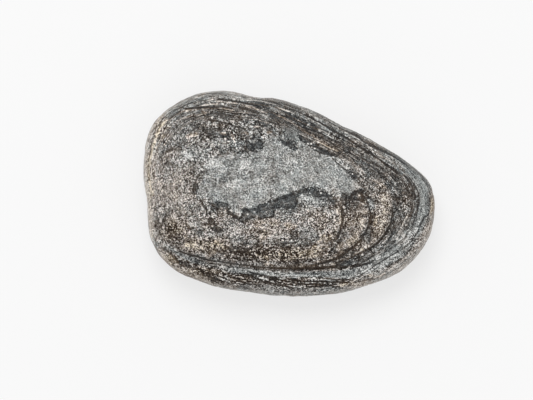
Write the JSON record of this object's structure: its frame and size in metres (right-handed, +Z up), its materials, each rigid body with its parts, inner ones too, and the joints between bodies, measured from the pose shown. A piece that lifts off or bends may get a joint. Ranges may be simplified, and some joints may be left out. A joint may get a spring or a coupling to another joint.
{
  "type": "fossil bivalve",
  "caption": "Worn fossil bivalve: a stone shell, broad at the beak and narrow at the far end, with stepped growth ledges round a smooth, flat crown and a groove above its thick lower valve.",
  "frame": {"origin": "middle of the plan outline, on the plane that the fossil rests on", "axes": "+X along the shell from the broad beak end to the narrow end, +Y across it towards the straighter long edge, +Z up out of the worn crown"},
  "size_m": [0.0877, 0.062, 0.0328],
  "materials": {
    "fossil_shell": "matt, worn stone, grey with brown and cream grains"
  },
  "bodies": {
    "root": {"fossil_shell": "fossil_shell"}
  },
  "joints": []
}
